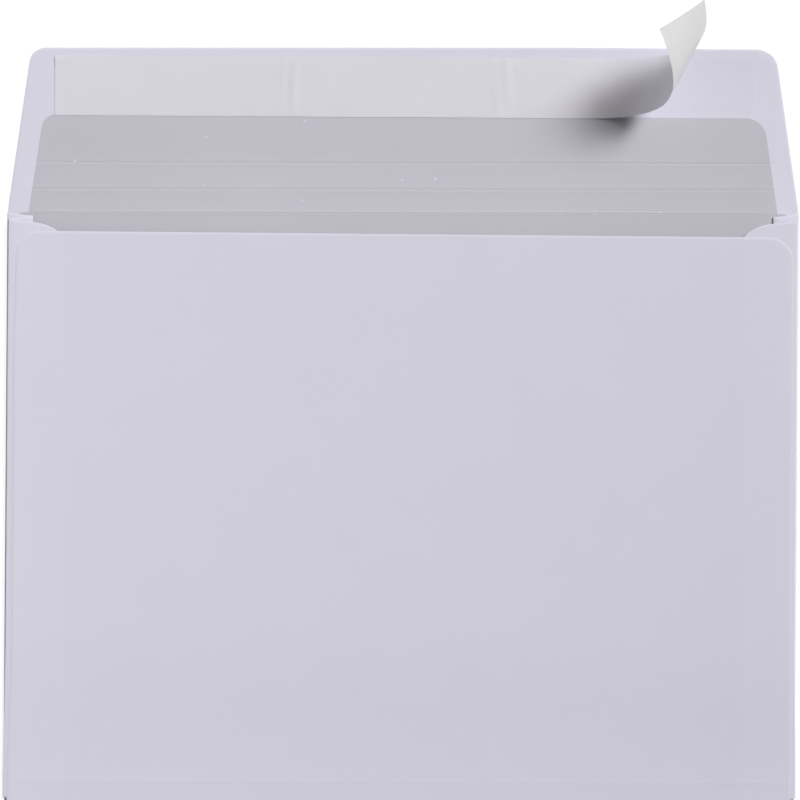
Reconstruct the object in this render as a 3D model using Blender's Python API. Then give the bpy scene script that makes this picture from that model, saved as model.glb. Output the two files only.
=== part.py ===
# Gusseted mailing envelope, lying open on its address side, with its release strip half peeled.
# Metres, +Z up. The origin is the centre of the address panel's outer face, +Y towards the flap.
import math

import bmesh
import bpy

MM = 0.001

# The folded envelope
WIDTH = 324 * MM
POCKET_LENGTH = 242 * MM  # flap fold to bottom fold
PAPER = 0.2 * MM
FOLD_RADIUS = 0.25 * MM  # of the paper's middle, at every pressed fold

# The flap, open and flat
FLAP_LENGTH = 68 * MM
FLAP_SIDE_SLOPE = math.radians(8.2)
FLAP_CORNER_RADIUS = 9 * MM
FLAP_SCORES = (9.7 * MM, 20.6 * MM)  # distances above the flap's fold, which is scored too
SCORE_HEIGHT = 0.12 * MM  # of the shoulders that the score pushes up
SCORE_HALF_WIDTH = 0.5 * MM
SCORE_SHOULDER = 3 * MM  # the shoulders fade out this far from the score

# The side gussets: two plies of a V and the glue flap behind the back panel
PLY_WIDTH = 9.6 * MM
GLUE_FLAP_WIDTH = 23.6 * MM
GUSSET_END_SLOPE = math.radians(7.5)  # of the die-cut end at the throat
GUSSET_CORNER_ACROSS = 12.3 * MM  # the glue flap's corner is a quarter of an ellipse
GUSSET_CORNER_DOWN = 8.2 * MM
GUSSET_FOOT_GAP = 3 * MM  # the V stops this far above the bottom fold
OPEN_RISE = 5.0 * MM  # from the front panel up to the glue flap, in the open part
FOOT_BLEND = 60 * MM  # length over which the pocket closes towards its foot

# The back panel
THROAT_DROP = 8.7 * MM  # its top edge lies this far below the flap's fold
BACK_INSET_TOP = 2.4 * MM  # its cut sides keep this far inside the outer folds
BACK_INSET_FOOT = 0.7 * MM
BACK_CORNER_RADIUS = 10 * MM
BACK_SKEW = math.radians(0.3)  # it is folded up this much out of true
FOOT_SCORE = 9.5 * MM  # the scored line above the bottom fold
GLUE_LINE_WIDTH = 14 * MM
GLUE_LINE_INSET = 6 * MM  # from the outer fold
GLUE_GAP = 0.1 * MM

# The grey print that hides the contents, on the inner face
PRINT_TOP_DROP = 28.3 * MM  # below the flap's top edge
PRINT_MARGIN = 8.8 * MM  # on the flap
PRINT_MARGIN_INSIDE = 5 * MM  # below the flap's fold

# The closure: an adhesive strip and the release liner over it
STRIP_TOP_DROP = 3.3 * MM  # liner's edge to the flap's top edge
LINER_WIDTH = 25 * MM
LINER_LEFT = -143.2 * MM
LINER_RIGHT = 150 * MM  # where its free end would lie if pressed flat
LINER_THICKNESS = 0.1 * MM
ADHESIVE_MARGIN = 1.5 * MM  # the liner overlaps the adhesive by this much on each edge
ADHESIVE_RIGHT = 143.2 * MM
ADHESIVE_THICKNESS = 0.05 * MM
LAYER_GAP = 0.05 * MM

# The peeled end, rolled up about a slanting line
PEEL_START = 70.5 * MM  # along X, on the liner's lower edge
PEEL_ANGLE = math.radians(60.8)  # of the rolling line from +X
PEEL_EASE = 6 * MM  # the bend begins over this length
PEEL_RADII = (  # (distance past the rolling line, radius there)
    (0.0, 29 * MM),
    (20 * MM, 29 * MM),
    (34 * MM, 18.4 * MM),
    (48 * MM, 18.2 * MM),
    (62 * MM, 100 * MM),
)

# Fineness of the meshes
FOLD_STEPS = 4
CORNER_STEPS = 8
BLEND_ROWS = 8
PANEL_COLUMNS = 6
LINER_STEP = 2.5 * MM
LINER_COLUMNS = 8

FRONT_Z = PAPER / 2
PANEL_HALF = WIDTH / 2 - FOLD_RADIUS
FOLD_Y = POCKET_LENGTH / 2
PACKED_RISE = 6 * FOLD_RADIUS  # the pressed V: three folds on top of each other
SEAM_RISE = PAPER + GLUE_GAP  # from the glue flap up to the back panel
FOOT_RADIUS = (PACKED_RISE + SEAM_RISE) / 2
FOOT_Y = -POCKET_LENGTH / 2 + FOOT_RADIUS
FLAP_TOP_Y = FOLD_Y + FLAP_LENGTH
THROAT_Y = FOLD_Y - THROAT_DROP
SCORE_Y = -POCKET_LENGTH / 2 + FOOT_SCORE
GUSSET_FOOT_Y = -POCKET_LENGTH / 2 + GUSSET_FOOT_GAP


def smooth(share):
    share = min(max(share, 0.0), 1.0)
    return share * share * (3 - 2 * share)


def rise_at(y):
    """Height of the glue flap over the front panel: pressed flat at the foot, open above."""
    return PACKED_RISE + (OPEN_RISE - PACKED_RISE) * smooth((y - SCORE_Y) / FOOT_BLEND)


def steps(start, end, count):
    return [start + (end - start) * i / count for i in range(count + 1)]


def ridge_rows(y):
    """Rows across a line scored from within, with their heights: the paper stands up along it."""
    return [(y - SCORE_HALF_WIDTH, 0.0), (y, SCORE_HEIGHT), (y + SCORE_HALF_WIDTH, 0.0)]


def groove_rows(y):
    """Rows across a line scored from above: a groove between two low shoulders."""
    offsets = (-SCORE_SHOULDER, -SCORE_HALF_WIDTH, 0.0, SCORE_HALF_WIDTH, SCORE_SHOULDER)
    heights = (0.0, SCORE_HEIGHT, 0.0, SCORE_HEIGHT, 0.0)
    return [(y + offset, height) for offset, height in zip(offsets, heights)]


def rounded_end(half_width, end_y, radius, side_slope=0.0):
    """(y, half width) up to a straight end with round corners, on sides that lean in by side_slope."""
    turn = math.pi / 2 - side_slope
    centre_x = half_width(end_y) - radius * math.tan(turn / 2)
    centre_y = end_y - radius
    rows = []
    for angle in steps(side_slope, math.pi / 2, CORNER_STEPS):
        rows.append((centre_y + radius * math.sin(angle), centre_x + radius * math.cos(angle)))
    return rows


def column_places(half_width, margin):
    """X places across a panel, with a line along the print's margin on each side."""
    inner = half_width - margin
    return [-half_width] + steps(-inner, inner, PANEL_COLUMNS) + [half_width]


def flap_half_width(y):
    return PANEL_HALF - (y - FOLD_Y) * math.tan(FLAP_SIDE_SLOPE)


def flap_rows():
    """Rows above the fold: (y, lift, half width), the scored lines and the print's top edge among them."""
    rows = [(y, lift) for y, lift in groove_rows(FOLD_Y) if y > FOLD_Y]
    for up in FLAP_SCORES:
        rows += groove_rows(FOLD_Y + up)
    rows.append((FLAP_TOP_Y - PRINT_TOP_DROP, 0.0))
    rows = [(y, lift, flap_half_width(y)) for y, lift in rows]
    corner = rounded_end(flap_half_width, FLAP_TOP_Y, FLAP_CORNER_RADIUS, FLAP_SIDE_SLOPE)
    return rows + [(y, 0.0, half) for y, half in corner]


def front_rows():
    """Rows (y, lift) of the front panel from the gusset's foot up to the flap's fold."""
    blend = steps(SCORE_Y, SCORE_Y + FOOT_BLEND, BLEND_ROWS)
    upper = steps(SCORE_Y + FOOT_BLEND, FOLD_Y - SCORE_SHOULDER, 3)[1:-1]
    rows = [(y, 0.0) for y in [GUSSET_FOOT_Y] + blend + upper]
    return rows + [(y, lift) for y, lift in groove_rows(FOLD_Y) if y <= FOLD_Y]


def back_inset(y):
    share = (y + POCKET_LENGTH / 2) / (THROAT_Y + POCKET_LENGTH / 2)
    return BACK_INSET_FOOT + (BACK_INSET_TOP - BACK_INSET_FOOT) * share


def back_half_width(y):
    return PANEL_HALF - back_inset(y)


def back_rows():
    """Rows of the back panel from the foot up to the throat: (y, lift, half width)."""
    blend = steps(SCORE_Y, SCORE_Y + FOOT_BLEND, BLEND_ROWS)[1:]
    upper = steps(SCORE_Y + FOOT_BLEND, THROAT_Y - BACK_CORNER_RADIUS, 3)[1:-1]
    lifts = [(GUSSET_FOOT_Y, 0.0)] + ridge_rows(SCORE_Y) + [(y, 0.0) for y in blend + upper]
    rows = [(y, lift, back_half_width(y)) for y, lift in lifts]
    corner = rounded_end(back_half_width, THROAT_Y, BACK_CORNER_RADIUS)
    return rows + [(y, 0.0, half) for y, half in corner]


def skewed(x, y):
    """A point of the back panel, turned about the middle of the bottom fold by the skew."""
    up = y + POCKET_LENGTH / 2
    return x + up * math.tan(BACK_SKEW), y - x * math.tan(BACK_SKEW) * smooth(up / FOOT_BLEND)


def gusset_section(rise):
    """(distance along the paper, inset from the panel's edge, height) of the folded V at one rise.

    The paper leaves the front panel, turns back over it to the V's inner fold, runs out again,
    and turns in once more as the glue flap.
    """
    reach = math.hypot(2 * PLY_WIDTH, 4 * FOLD_RADIUS)
    lean = math.asin((rise - 2 * FOLD_RADIUS) / reach) - math.atan2(4 * FOLD_RADIUS, 2 * PLY_WIDTH)
    turns = (math.pi - lean, -(math.pi - 2 * lean), math.pi - lean)
    straights = (PLY_WIDTH, PLY_WIDTH, 0.0)
    x, z, travelled, heading = 0.0, 0.0, 0.0, math.pi
    points = [(travelled, x, z)]
    for turn, straight in zip(turns, straights):
        arc_step = abs(turn) / FOLD_STEPS * FOLD_RADIUS
        chord = 2 * FOLD_RADIUS * math.sin(abs(turn) / FOLD_STEPS / 2)
        for _ in range(FOLD_STEPS):
            heading -= turn / FOLD_STEPS / 2
            x += chord * math.cos(heading)
            z += chord * math.sin(heading)
            heading -= turn / FOLD_STEPS / 2
            travelled += arc_step
            points.append((travelled, x, z))
        if straight:
            x += straight * math.cos(heading)
            z += straight * math.sin(heading)
            travelled += straight
            points.append((travelled, x, z))
    return points


def glue_flap_columns():
    """(distance in from the outer fold's end, extra drop of the end) with the corner rounded."""
    flat = GLUE_FLAP_WIDTH - FOLD_RADIUS
    columns = [((flat - GUSSET_CORNER_ACROSS) / 2, 0.0)]
    for angle in steps(0.0, math.pi / 2, CORNER_STEPS):
        across = flat - GUSSET_CORNER_ACROSS * (1 - math.sin(angle))
        columns.append((across, GUSSET_CORNER_DOWN * (1 - math.cos(angle))))
    return columns


def gusset_columns(rise):
    """(distance along the paper, inset, height, extra drop) of each column of one gusset."""
    section = [(travelled, x, z, 0.0) for travelled, x, z in gusset_section(rise)]
    travelled, x, z, _ = section[-1]
    for across, drop in glue_flap_columns():
        section.append((travelled + across, x + across, z, drop))
    return section


def grid_faces(mesh, rows):
    """Quads between neighbouring rows of equally many vertices."""
    faces = []
    for low, high in zip(rows, rows[1:]):
        for i in range(len(low) - 1):
            faces.append(mesh.faces.new((low[i], low[i + 1], high[i + 1], high[i])))
    return faces


def material(name, colour, roughness, alpha=1.0):
    made = bpy.data.materials.new(name)
    made.use_nodes = True
    shader = made.node_tree.nodes["Principled BSDF"]
    shader.inputs["Base Color"].default_value = (*colour, 1.0)
    shader.inputs["Roughness"].default_value = roughness
    shader.inputs["Metallic"].default_value = 0.0
    shader.inputs["Alpha"].default_value = alpha
    made.diffuse_color = (*colour, alpha)
    return made


def add_object(name, mesh, materials, thickness=0.0):
    """An object from a bmesh: a sheet gets its thickness, half to each side of its middle."""
    data = bpy.data.meshes.new(name)
    mesh.to_mesh(data)
    mesh.free()
    for each in materials:
        data.materials.append(each)
    made = bpy.data.objects.new(name, data)
    bpy.context.scene.collection.objects.link(made)
    if thickness:
        solidify = made.modifiers.new("paper thickness", "SOLIDIFY")
        solidify.thickness = thickness
        solidify.offset = 0.0
        solidify.use_even_offset = True
    return made


def envelope_sheet():
    """The middle of the folded blank: flap, front panel, both gussets, bottom fold and back panel."""
    mesh = bmesh.new()

    def row_of(y, z, half, lift=0.0, margin=PRINT_MARGIN, place=None):
        """Vertices across a panel. A score's lift fades out towards the panel's edges."""
        points = []
        for x in column_places(half, margin):
            px, py = place(x, y) if place else (x, y)
            points.append(mesh.verts.new((px, py, z + (lift if abs(x) < half else 0.0))))
        return points

    front = []
    for y, lift in front_rows():
        front.append(row_of(y, FRONT_Z, PANEL_HALF, lift, PRINT_MARGIN_INSIDE))
    flap = [front[-1]] + [row_of(y, FRONT_Z, half, lift) for y, lift, half in flap_rows()]

    foot = [row_of(FOOT_Y, FRONT_Z, PANEL_HALF)]
    for angle in steps(0.0, math.pi, 2 * FOLD_STEPS)[1:]:
        y = FOOT_Y - FOOT_RADIUS * math.sin(angle)
        z = FRONT_Z + FOOT_RADIUS * (1 - math.cos(angle))
        share = angle / math.pi
        foot.append(row_of(y, z, PANEL_HALF - share * back_inset(FOOT_Y)))
    back = [foot[-1]]
    for y, lift, half in back_rows():
        back.append(row_of(y, FRONT_Z + rise_at(y) + SEAM_RISE, half, lift, place=skewed))

    for face in grid_faces(mesh, front) + grid_faces(mesh, flap):
        face.material_index = 1 if in_print(face.calc_center_median()) else 0
    grid_faces(mesh, [foot[0], front[0]])
    grid_faces(mesh, foot[::-1])
    grid_faces(mesh, back[::-1])

    for side in (-1, 1):
        edge = [row[0] if side < 0 else row[-1] for row in front]
        rows = []
        for (y, _), start in zip(front_rows(), edge):
            share = (y - GUSSET_FOOT_Y) / (FOLD_Y - GUSSET_FOOT_Y)
            row = [start]
            for column, (travelled, _, _, drop) in enumerate(gusset_columns(rise_at(y))[1:], 1):
                end_y = FOLD_Y - travelled * math.tan(GUSSET_END_SLOPE) - drop
                at_y = GUSSET_FOOT_Y + share * (end_y - GUSSET_FOOT_Y)
                _, inset, height, _ = gusset_columns(rise_at(at_y))[column]
                row.append(mesh.verts.new((side * (PANEL_HALF - inset), at_y, FRONT_Z + height)))
            rows.append(row)
        grid_faces(mesh, rows)

    bmesh.ops.recalc_face_normals(mesh, faces=mesh.faces)
    return mesh


def in_print(point):
    """Is a point of the inner face within the printed field?"""
    if point.y < FOLD_Y:
        return abs(point.x) < PANEL_HALF - PRINT_MARGIN_INSIDE
    return point.y < FLAP_TOP_Y - PRINT_TOP_DROP and abs(point.x) < flap_half_width(point.y) - PRINT_MARGIN


def glue_line(side):
    """The glue between one glue flap and the back panel, reaching into both sheets."""
    mesh = bmesh.new()
    outer = WIDTH / 2 - GLUE_LINE_INSET
    inner = outer - GLUE_LINE_WIDTH
    blend = steps(SCORE_Y, SCORE_Y + FOOT_BLEND, BLEND_ROWS)
    ys = [GUSSET_FOOT_Y + GUSSET_FOOT_GAP] + blend + [THROAT_Y - BACK_CORNER_RADIUS]
    rows = []
    for y in ys:
        low = FRONT_Z + rise_at(y)
        high = low + SEAM_RISE
        ring = [(inner, low), (outer, low), (outer, high), (inner, high)]
        rows.append([mesh.verts.new((side * x, y, z)) for x, z in ring])
    for low, high in zip(rows, rows[1:]):
        for i in range(4):
            j = (i + 1) % 4
            mesh.faces.new((low[i], low[j], high[j], high[i]))
    mesh.faces.new(rows[0])
    mesh.faces.new(rows[-1])
    bmesh.ops.recalc_face_normals(mesh, faces=mesh.faces)
    return mesh


def make_envelope():
    paper = material("white_envelope_paper", (0.66, 0.64, 0.73), 0.75)
    grey = material("grey_inner_print", (0.53, 0.52, 0.58), 0.75)
    envelope = add_object("envelope", envelope_sheet(), (paper, grey), PAPER)
    for side, name in ((-1, "glue_line_left"), (1, "glue_line_right")):
        helper = add_object(name, glue_line(side), (paper,))
        helper.hide_render = True
        helper.display_type = "WIRE"
        bond = envelope.modifiers.new(name, "BOOLEAN")
        bond.operation = "UNION"
        bond.object = helper
    return envelope


def make_adhesive():
    """The strip of pressure-sensitive glue on the flap, under the liner."""
    clear = material("clear_adhesive", (0.72, 0.70, 0.76), 0.3, 0.5)
    top = FLAP_TOP_Y - STRIP_TOP_DROP - ADHESIVE_MARGIN
    bottom = FLAP_TOP_Y - STRIP_TOP_DROP - LINER_WIDTH + ADHESIVE_MARGIN
    low = PAPER + LAYER_GAP
    mesh = bmesh.new()
    left = LINER_LEFT + ADHESIVE_MARGIN
    corners = [(left, bottom), (ADHESIVE_RIGHT, bottom), (ADHESIVE_RIGHT, top), (left, top)]
    base = mesh.faces.new([mesh.verts.new((x, y, low)) for x, y in corners])
    lifted = bmesh.ops.extrude_face_region(mesh, geom=[base])
    for vert in [item for item in lifted["geom"] if isinstance(item, bmesh.types.BMVert)]:
        vert.co.z += ADHESIVE_THICKNESS
    bmesh.ops.recalc_face_normals(mesh, faces=mesh.faces)
    return add_object("closure_adhesive", mesh, (clear,))


def peel_curvature(distance):
    """Bend of the rolled liner at a distance past the rolling line."""
    for (start, tight), (end, loose) in zip(PEEL_RADII, PEEL_RADII[1:]):
        if distance <= end:
            share = (distance - start) / (end - start)
            bend = (1 - share) / tight + share / loose
            return bend * min(distance / PEEL_EASE, 1.0)
    return 1 / PEEL_RADII[-1][1]


def peel_profile(length, fineness=0.25 * MM):
    """(forward, up) reached after each small step along the rolled liner, and the step."""
    forward, up, angle = 0.0, 0.0, 0.0
    places = [(forward, up)]
    for i in range(int(length / fineness) + 2):
        angle += peel_curvature((i + 0.5) * fineness) * fineness
        forward += math.cos(angle) * fineness
        up += math.sin(angle) * fineness
        places.append((forward, up))
    return places, fineness


def make_liner():
    """The siliconed release strip: flat on its adhesive, its right end peeled and rolled over."""
    coated = material("release_liner_paper", (0.68, 0.66, 0.70), 0.45)
    low_y = FLAP_TOP_Y - STRIP_TOP_DROP - LINER_WIDTH
    middle_z = PAPER + 2 * LAYER_GAP + ADHESIVE_THICKNESS + LINER_THICKNESS / 2
    along = (math.cos(PEEL_ANGLE), math.sin(PEEL_ANGLE))
    across = (along[1], -along[0])
    places, fineness = peel_profile((LINER_RIGHT - PEEL_START) * across[0])

    def rolled(x, y):
        rel_x, rel_y = x - PEEL_START, y - low_y
        on_line = rel_x * along[0] + rel_y * along[1]
        past = rel_x * across[0] + rel_y * across[1]
        if past <= 0:
            return x, y, middle_z
        index = past / fineness
        whole = int(index)
        (f0, u0), (f1, u1) = places[whole], places[whole + 1]
        forward = f0 + (f1 - f0) * (index - whole)
        up = u0 + (u1 - u0) * (index - whole)
        base_x = PEEL_START + on_line * along[0] + forward * across[0]
        base_y = low_y + on_line * along[1] + forward * across[1]
        return base_x, base_y, middle_z + up

    mesh = bmesh.new()
    fine = int((LINER_RIGHT - PEEL_START) / LINER_STEP)
    xs = steps(LINER_LEFT, PEEL_START, 8)[:-1] + steps(PEEL_START, LINER_RIGHT, fine)
    ys = steps(low_y, low_y + LINER_WIDTH, LINER_COLUMNS)
    grid_faces(mesh, [[mesh.verts.new(rolled(x, y)) for y in ys] for x in xs])
    bmesh.ops.recalc_face_normals(mesh, faces=mesh.faces)
    liner = add_object("release_liner", mesh, (coated,), LINER_THICKNESS)
    liner.data.shade_smooth()
    return liner


def main():
    for leftover in list(bpy.data.objects):
        bpy.data.objects.remove(leftover, do_unlink=True)
    make_envelope()
    make_adhesive()
    make_liner()


main()
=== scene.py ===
# Gusseted paper envelope, open and flap up: its sheet, liner, finishes, light and camera.
import math

import bmesh
import bpy
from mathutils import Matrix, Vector, noise


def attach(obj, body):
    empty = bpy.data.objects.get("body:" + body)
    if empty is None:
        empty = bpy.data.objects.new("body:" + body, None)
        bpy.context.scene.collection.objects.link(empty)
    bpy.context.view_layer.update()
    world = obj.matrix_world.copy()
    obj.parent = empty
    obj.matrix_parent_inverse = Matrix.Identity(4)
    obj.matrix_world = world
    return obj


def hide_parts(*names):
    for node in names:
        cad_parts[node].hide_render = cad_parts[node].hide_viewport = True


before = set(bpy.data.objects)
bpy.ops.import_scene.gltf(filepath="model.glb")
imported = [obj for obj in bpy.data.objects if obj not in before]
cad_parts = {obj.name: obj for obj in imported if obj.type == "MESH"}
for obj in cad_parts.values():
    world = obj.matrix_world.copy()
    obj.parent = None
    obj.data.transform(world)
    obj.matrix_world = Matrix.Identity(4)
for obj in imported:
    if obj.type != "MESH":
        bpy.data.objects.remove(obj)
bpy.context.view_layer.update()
MM = 0.001

# The folded blank. Sizes are the model's, apart from those that are fitted to the one shown.
WIDTH = 324 * MM
POCKET_LENGTH = 242 * MM  # flap fold to bottom fold
PAPER = 0.2 * MM  # in the model, so that the front panel lies as high as there
SHEET = 0.15 * MM  # as shown
FOLD_RADIUS = 0.25 * MM  # of the paper's middle, at every pressed fold

# Flap
FLAP_LENGTH = 67.9 * MM
FLAP_SIDE_SLOPE = math.radians(8.2)
FLAP_FLARE = 0.3 * MM  # it is cut this much wider than the pocket on each side
FLAP_FLARE_RUN = 2 * MM
FLAP_CORNER_RADIUS = 9.5 * MM
FLAP_LEFT_CORNER_RADIUS = 7 * MM
FLAP_TOP_TURN = math.radians(0.13)  # its top edge runs up to the right
FLAP_TOP_DROP = 0.75 * MM  # and falls off by this at its right end
FLAP_TOP_DROP_X = 60 * MM  # from here
FLAP_TOP_DROP_RUN = 90 * MM
FLAP_TOP_BAND = 4 * MM  # this much of the flap follows its top edge
FLAP_SCORES = (9.7 * MM, 20.6 * MM)  # distances above its fold
SCORE_HEIGHT = 0.08 * MM  # of the shoulders that a score pushes up
SCORE_HALF_WIDTH = 0.5 * MM
SCORE_SHOULDER = 3 * MM  # the shoulders fade out this far from the score
FOLD_GROOVE = 0.12 * MM  # the same three sizes at the flap's fold
FOLD_HALF_WIDTH = 0.32 * MM
FOLD_SHOULDER = 1.1 * MM
FOLD_LOWER_SHOULDER = 0.55  # height of its lower shoulder as a share of the upper one's
FOLD_ARCH = 1.0 * MM  # the opened fold stands up this much
FOLD_ARCH_BELOW = 22 * MM  # and slopes down into the pocket over this length

# Gussets
PLY_WIDTH = 9.6 * MM
GLUE_FLAP_WIDTH = 23.6 * MM
GUSSET_END_SLOPE = math.radians(7.5)  # of the die-cut end at the throat
GUSSET_CORNER_ACROSS = 12.3 * MM  # the glue flap's corner is a quarter of an ellipse
GUSSET_CORNER_DOWN = 8.2 * MM
GUSSET_FOOT_GAP = 3 * MM  # the V stops this far above the bottom fold
OPEN_RISE = 2.6 * MM  # from the front panel up to the glue flap, in the open part
FOOT_BLEND = 60 * MM  # length over which the pocket closes towards its foot
DRAW_IN = 1.0 * MM  # the open pocket's back is narrower by this on each side
OUT_OF_SQUARE = math.radians(0.27)  # the pocket leans this much against the flap's fold

# Back panel
THROAT_DROP = 8.7 * MM  # its top edge lies this far below the flap's fold
THROAT_TILT = math.radians(0.38)  # and runs down to the right
BACK_INSET = 1.5 * MM  # its cut sides keep this far inside the outer folds
BACK_SHIFT = 0.4 * MM  # it lies this much to the right
BACK_LEFT_BEND = 0.9 * MM  # its left side bends in by this towards the corner
BACK_BEND_Y = 50 * MM  # from here
BACK_BEND_RUN = 50 * MM
BACK_CORNER_RADIUS = 10 * MM
FOOT_SCORE = 9.5 * MM  # the scored line above the bottom fold
FOOT_RIDGE = 0.04 * MM
GLUE_GAP = 0.07 * MM
GLUE_EDGE_STEP = 0.035 * MM  # it settles this much past the glue flap's inner edge
GLUE_EDGE_RUN = 1.6 * MM

# Grey print
PRINT_TOP_DROP = 28.1 * MM  # below the flap's top edge
PRINT_TURN = math.radians(0.2)
PRINT_MARGIN = 8.8 * MM  # on the flap
PRINT_MARGIN_INSIDE = 5 * MM  # below the flap's fold
PRINT_CORNER_RADII = (5.2 * MM, 7.5 * MM)  # left, right
PRINT_MIDDLE = (-1 * MM, 1 * MM)  # between these, one radius passes to the other
PRINT_INSIDE_RADIUS = 1 * MM
PRINT_EDGE = 0.12 * MM  # the ink fades out over this on both sides of its outline
PRINT_JOIN = 0.02 * MM  # the same where the flap's print meets the pocket's
PRINT_DARK_FROM = 60 * MM  # away from the middle, it gets a little darker from here
PRINT_DARK_TO = 150 * MM
PRINT_DARK = 0.965  # to this share of its colour

# The closure
STRIP_TOP_DROP = 3.9 * MM  # liner's edge to the flap's top edge
LINER_WIDTH = 24.6 * MM
LINER_LEFT = -142.6 * MM
LINER_RIGHT = 152.6 * MM  # where its free end would lie if pressed flat
LINER_END_SLANT = 2.9 * MM  # its free end is cut askew by this
LINER_TURN = math.radians(0.2)  # the strip was laid on a little askew
LINER_TURN_X = -20 * MM  # about this place
LINER_SHEET = 0.06 * MM
LINER_GAP = 0.01 * MM
ADHESIVE_MARGIN = 1.5 * MM  # the liner overlaps the adhesive by this much on each edge
ADHESIVE_TOP_Z = 0.30 * MM
PEEL_START = 71.9 * MM  # along X, on the liner's lower edge
PEEL_ANGLE = math.radians(62.0)  # of the rolling line from +X
PEEL_EASE = 6 * MM  # the bend begins over this length
PEEL_RADII = (  # (distance past the rolling line, radius there)
    (0.0, 28 * MM),
    (20 * MM, 28 * MM),
    (34 * MM, 16.5 * MM),
    (48 * MM, 26 * MM),
    (62 * MM, 88 * MM),
    (74 * MM, 16.6 * MM),
)

# What folding and handling leave in the paper
COCKLE_LENGTH = 75 * MM
COCKLE_FINER = 2.3  # a second, finer unevenness lies over the first
COCKLE_FINER_SHARE = 0.25
FLAP_COCKLE = 0.14 * MM
FLAP_COCKLE_FADES = (20 * MM, 10 * MM)  # it grows over these from the fold, and from the liner
BACK_COCKLE = 0.22 * MM
LINER_COCKLE = 0.07 * MM
LINER_COCKLE_FINER = 1.5
FLAP_SEED, BACK_SEED, LINER_SEED, CREASE_SEED = 1.7, 8.1, 3.3, 6.0
EDGE_ROLL = 0.13 * MM  # the die rolls the cut edges down
CUT_EDGE_BAND = 0.8 * MM  # the band along each cut edge that the die rolls down, with a painted highlight a little lighter than the face
LINER_DROOP = 0.03 * MM  # the liner's edges, free of the glue, sag by this
LINER_CORNER_LIFT = 0.45 * MM  # its top left corner has come up a little
LINER_CORNER_REACH = 5 * MM
LINER_CREASES = ((-46 * MM, 4 * MM), (41 * MM, 5 * MM))  # (middle along X, spread) of two groups
LINER_CREASE_HEIGHT = 0.8 * LINER_COCKLE
LINER_CREASE_PITCH = 0.9 * MM
LINER_CREASE_WANDER = 9

# Fineness of the meshes
SAME_PLACE = 0.001 * MM
MIDDLE_COLUMNS = 46
ROW_STEP = 5 * MM
HIDDEN_ROW_STEP = 12 * MM
THROAT_ROW_STEP = 2 * MM
THROAT_DEPTH = 20 * MM  # the front panel is seen this far below the throat
FOLD_STEPS = 8
PLY_STEPS = 3
GLUE_FLAP_STEP = 3 * MM
CORNER_STEPS = 14
SHOULDER_STEPS = 5
LINER_STEP = 0.9 * MM
LINER_FLAT_STEP = 2 * MM
LINER_CREASE_STEP = 0.4 * MM
LINER_COLUMNS = 24
PEEL_STEP = 0.25 * MM
SHEET_SHARP_ANGLE = math.radians(38)  # edges with a larger one are shaded as edges
LINER_SHARP_ANGLE = math.radians(40)

# Places that follow from the sizes
FRONT_Z = PAPER / 2
PANEL_HALF = WIDTH / 2 - FOLD_RADIUS
FOLD_Y = POCKET_LENGTH / 2
PACKED_RISE = 6 * FOLD_RADIUS  # the pressed V: three folds on top of each other
SEAM_RISE = SHEET + GLUE_GAP  # from the glue flap up to the back panel
FOOT_RADIUS = (PACKED_RISE + SEAM_RISE) / 2
FOOT_Y = -POCKET_LENGTH / 2 + FOOT_RADIUS
FLAP_TOP_Y = FOLD_Y + FLAP_LENGTH
THROAT_Y = FOLD_Y - THROAT_DROP
SCORE_Y = -POCKET_LENGTH / 2 + FOOT_SCORE
GUSSET_FOOT_Y = -POCKET_LENGTH / 2 + GUSSET_FOOT_GAP
GLUE_EDGE_X = WIDTH / 2 - GLUE_FLAP_WIDTH - DRAW_IN
LINER_LOW_Y = FLAP_TOP_Y - STRIP_TOP_DROP - LINER_WIDTH
LINER_TOP_Y = LINER_LOW_Y + LINER_WIDTH
LINER_Z = ADHESIVE_TOP_Z + LINER_GAP + LINER_SHEET / 2

# Colours, linear
BARE_PAPER = (0.668, 0.648, 0.748)
PAPER_OVER_FOLDS = (0.660, 0.641, 0.740)  # the back panel over the gusset's folds
PAPER_OVER_GLUE_FLAP = (0.655, 0.636, 0.735)
PAPER_OVER_PRINT = (0.646, 0.628, 0.724)  # the grey print within shows through
# cut faces and edge bands: the paper's whiter cut, made lighter still by a painted highlight of the
# rolled edges
CUT_EDGE_AND_HIGHLIGHT = (0.675, 0.656, 0.752)
GREY_PRINT = (0.522, 0.515, 0.568)
LINER_FACE = (0.700, 0.681, 0.735)
LINER_BACK = (0.757, 0.743, 0.749)
ADHESIVE_FILM = (0.62, 0.60, 0.69)
WHITE = (1.0, 1.0, 1.0, 1.0)

# Finishes. The noises and specks are counted per metre.
STOCK_CLOUDS = 28.0
STOCK_FLECKS = 700.0
STOCK_FIBRES = (900.0, 2600.0, 900.0)
STOCK_FIBRE_TURN = 0.5
PRINT_GRAIN_FINE = 1500.0
PRINT_GRAIN_SLOW = 9.0
SPECK_CELLS = 75.0  # each cell has room for one speck
SPECK_CHANCE = (0.72, 1.0)  # cells with a chance above the first have one, larger towards the last
SPECK_SIZE = 0.042  # of a cell
SPECK_STRENGTH = 0.8
FILM_RIPPLES = 220.0
PAPER_ROUGHNESS = 0.72
LINER_FACE_ROUGHNESS = 0.42
LINER_BACK_ROUGHNESS = 0.36
FILM_ROUGHNESS = 0.38
FLOOR_ROUGHNESS = 0.9
PAPER_GLOSS = 0.3
LINER_GLOSS = 0.45
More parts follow.
